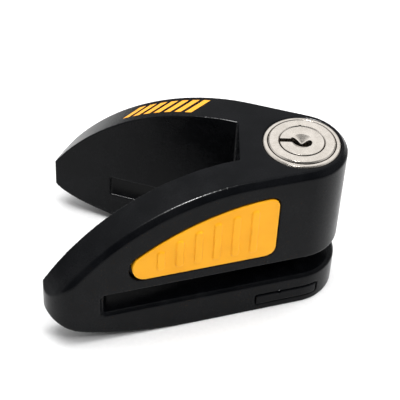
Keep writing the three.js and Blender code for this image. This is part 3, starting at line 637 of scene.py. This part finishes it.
def build_plug():
    low, high = box_mm("plug")
    dish, depth = 3.0, 1.1
    edge = 0.12
    foot = WEB_BOTTOM - RUNNING_GAP
    outline = [
        (0, foot), (JOURNAL_RADIUS, foot), (JOURNAL_RADIUS, PLUG_SHOULDER), (PLUG, PLUG_SHOULDER),
        (PLUG, high.z - edge), (PLUG - edge, high.z), (dish + 0.1, high.z), (dish - 0.05, high.z - 0.06),
        (0.25, high.z - depth + 0.05), (0, high.z - depth)]
    plug = turned("plug_turning", outline, 0.08)
    keyway_bottom = 37.0
    combine(plug, "DIFFERENCE", [keyway_tool(keyway_bottom, high.z + 1), *stack_tools(2.0),
                                 cross_hole("plug_drill_pin")])
    half, neck_radius, neck_top = 1.6, 1.1, 33.6  # the tail: a square, a neck and a button
    tail = box("tail_square", (LOCK_AXIS.x - half, -half, 33.35), (LOCK_AXIS.x + half, half, 34.8))
    neck_bottom, button_top = low.z + 0.3, low.z + 0.4
    neck = turned("tail_neck", [(0, neck_bottom), (neck_radius, neck_bottom), (neck_radius, neck_top),
                                (0, neck_top)], 0, PIN_STEPS)
    button = turned("tail_button", [(0, low.z), (half, low.z), (half, button_top), (0, button_top)], 0.1,
                    PIN_STEPS)
    combine(plug, "UNION", [tail, neck, button])
    smooth_within(plug, FLATS)
    place(plug, "key_plug", ["plug"], "satin_nickel", NICKEL)


def build_locking_pin():
    low, high = box_mm("locking_pin")
    base_low, base_high = box_mm("barrel_base")
    radius = (high.x - low.x) / 2
    lead = 0.9
    step = base_low.z - RUNNING_GAP
    pin = turned("locking_pin_bar", [
        (0, low.z), (radius - lead, low.z), (radius, low.z + lead), (radius, step), (SPIGOT_RADIUS, step),
        (SPIGOT_RADIUS, high.z), (0, high.z)], 0.2)
    smooth_within(pin, 40)
    place(pin, "cylinder", ["locking_pin"], "hardened_steel", STEEL)
    inner, outer = SPIGOT_RADIUS + RUNNING_GAP, (base_high.x - base_low.x) / 2
    base = turned("barrel_base_ring", [
        (inner, base_low.z), (outer, base_low.z), (outer, base_high.z), (inner, base_high.z)], 0.15)
    smooth_within(base, 40)
    place(base, "cylinder", ["barrel_base"], "hardened_steel", STEEL)


def small_rod(node, body, axis, slot, material, ends):
    """A round pin along X, Y or Z (axis 0, 1 or 2), as long and as wide as its CAD node's box."""
    low, high = box_mm(node)
    size = high - low
    length = size[axis]
    radius = max(size[k] for k in range(3) if k != axis) / 2
    direction = [0, 0, 0]
    direction[axis] = 1
    piece = laid_along(rod(node + "_rod", radius, length, ends), direction, middle(node))
    smooth_within(piece, 40)
    place(piece, body, [node], slot, material)


def lying_spring(node, radius, wire, turns, closed):
    """A coil along X in the cylinder, as long as its CAD node's box."""
    low, high = box_mm(node)
    half = (high.x - low.x) / 2
    spring = coil(node + "_coil", radius, wire, -half, half, turns, Vector(), closed)
    laid_along(spring, (1, 0, 0), middle(node))
    smooth_within(spring, 60)
    return place(spring, "cylinder", [node], "spring_steel", WIRE)


def build_pins():
    small_rod("barrel_drill_pin", "cylinder", 1, "hardened_steel", STEEL, ends=0.1)
    small_rod("plug_drill_pin", "key_plug", 1, "hardened_steel", STEEL, ends=0.1)
    for i in range(1, 6):
        small_rod(f"driver_pin_{i}", "cylinder", 0, "brass", BRASS, ends=0.2)
        small_rod(f"bottom_pin_{i}", "key_plug", 0, "brass", BRASS, ends=0.45)
        lying_spring(f"pin_spring_{i}", radius=0.75, wire=0.15, turns=2, closed=0.2)
    spring = lying_spring("latch_spring", radius=1.1, wire=0.22, turns=5, closed=0.7)
    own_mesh(spring)


def build_mechanism():
    for node, body, edge, slot, material in (
            ("pin_cover", "cylinder", 0.08, "brass", BRASS),
            ("plug_cam", "key_plug", 0.1, "hardened_steel", STEEL),
            ("cam_clip", "key_plug", 0.05, "spring_steel", WIRE),
            ("latch_bolt", "latch", 0.2, "hardened_steel", STEEL)):
        place(machined(node, node + "_part", edge), body, [node], slot, material)


# ---------------------------------------------------------------- floor, light and camera

def studio(shell):
    half, level = 3.0, -2e-5  # metres
    corners = [(-half, -half, level), (half, -half, level), (half, half, level), (-half, half, level)]
    floor = piece_from("floor", corners, [[0, 1, 2, 3]])
    f = Finish("pale_paper", 0.0, 0.2)
    tooth = f.noise(1.2, 3.0)
    colour = f.mix(f.spread(tooth, 0, 1), (0.90, 0.90, 0.90), (0.93, 0.93, 0.93))
    floor.data.materials.append(f.finish(colour, f.spread(tooth, 0.75, 0.9), f.bump(tooth, 0.01)))
    surroundings()
    overhead = softbox("overhead", (0.0, 0.0, 0.9), (0.0, 0.0, 0.0), size=(0.8, 0.6), power=9.5)
    overhead.visible_glossy = False
    fill = softbox("fill", (0.34, -0.42, 0.8), (0.0, 0.0, 0.02), size=(0.25, 0.25), power=2.6)
    fill.visible_glossy = False
    key = softbox("key", (-0.1, -0.2, 1.0), (0.0, 0.0, 0.03), size=(0.12, 0.12), power=2.5)
    key.visible_diffuse = False
    rim = softbox("rim", (-0.2, -0.17, 1.0), (-0.01, -0.02, 0.045), size=(0.14, 0.14), power=70.0)
    rim.visible_diffuse = False
    lit = bpy.data.collections.new("lit_by_rim")
    lit.objects.link(shell)
    rim.light_linking.receiver_collection = lit


def surroundings():
    """Even light from all round, dimmer towards the front, the horizon and the zenith."""
    world = bpy.data.worlds.new("studio")
    bpy.context.scene.world = world
    world.use_nodes = True
    tree = world.node_tree
    coords = tree.nodes.new("ShaderNodeTexCoord").outputs["Generated"]
    facing = tree.nodes.new("ShaderNodeVectorMath")
    facing.operation = "DOT_PRODUCT"
    tree.links.new(coords, facing.inputs[0])
    up = math.radians(40)
    facing.inputs[1].default_value = (0.0, -math.cos(up), math.sin(up))
    height = tree.nodes.new("ShaderNodeSeparateXYZ")
    tree.links.new(coords, height.inputs[0])
    strength = None
    for value, start, end, low, high in (
            (facing.outputs["Value"], 0.3, 0.85, 1.15, 0.12),
            (height.outputs["Z"], 0.78, 0.93, 1.0, 0.35),
            (height.outputs["Z"], 0.0, 0.6, 0.12, 1.0)):
        level = tree.nodes.new("ShaderNodeMapRange")
        tree.links.new(value, level.inputs["Value"])
        for socket, number in (("From Min", start), ("From Max", end), ("To Min", low), ("To Max", high)):
            level.inputs[socket].default_value = number
        if strength is None:
            strength = level.outputs["Result"]
            continue
        product = tree.nodes.new("ShaderNodeMath")
        product.operation = "MULTIPLY"
        tree.links.new(strength, product.inputs[0])
        tree.links.new(level.outputs["Result"], product.inputs[1])
        strength = product.outputs[0]
    tree.links.new(strength, tree.nodes["Background"].inputs["Strength"])
    tree.nodes["Background"].inputs["Color"].default_value = (1.0, 1.0, 1.0, 1)


def softbox(name, position, target, size, power):
    """A flat rectangular light at a position, facing a target."""
    data = bpy.data.lights.new(name, "AREA")
    data.shape = "RECTANGLE"
    data.size, data.size_y = size
    data.energy = power
    light = bpy.data.objects.new(name, data)
    light.location = position
    light.rotation_euler = (Vector(target) - Vector(position)).to_track_quat("-Z", "Y").to_euler()
    bpy.context.scene.collection.objects.link(light)
    return light


def camera():
    """Looks down on the near side from the front, with a slight roll."""
    azimuth, elevation, roll = (math.radians(a) for a in (-2.92, 41.98, 3.42))
    target, distance = Vector((0.0021, 0.00892, 0.020)), 0.41653
    back = Vector((math.sin(azimuth) * math.cos(elevation), -math.cos(azimuth) * math.cos(elevation),
                   math.sin(elevation)))
    right = Vector((math.cos(azimuth), math.sin(azimuth), 0))
    up = back.cross(right)
    tilted_right = math.cos(roll) * right + math.sin(roll) * up
    tilted_up = math.cos(roll) * up - math.sin(roll) * right
    data = bpy.data.cameras.new("camera")
    data.sensor_width, data.lens = 36.0, 121.35
    data.clip_start, data.clip_end = 0.01, 20.0
    eye = bpy.data.objects.new("camera", data)
    turn = Matrix((tilted_right, tilted_up, back)).transposed().to_4x4()
    eye.matrix_world = Matrix.Translation(target + back * distance) @ turn
    bpy.context.scene.collection.objects.link(eye)
    bpy.context.scene.camera = eye


bpy.context.scene.view_settings.view_transform = "Standard"
camera()
studio(build_case())
build_barrel()
build_plug()
build_locking_pin()
build_pins()
build_mechanism()
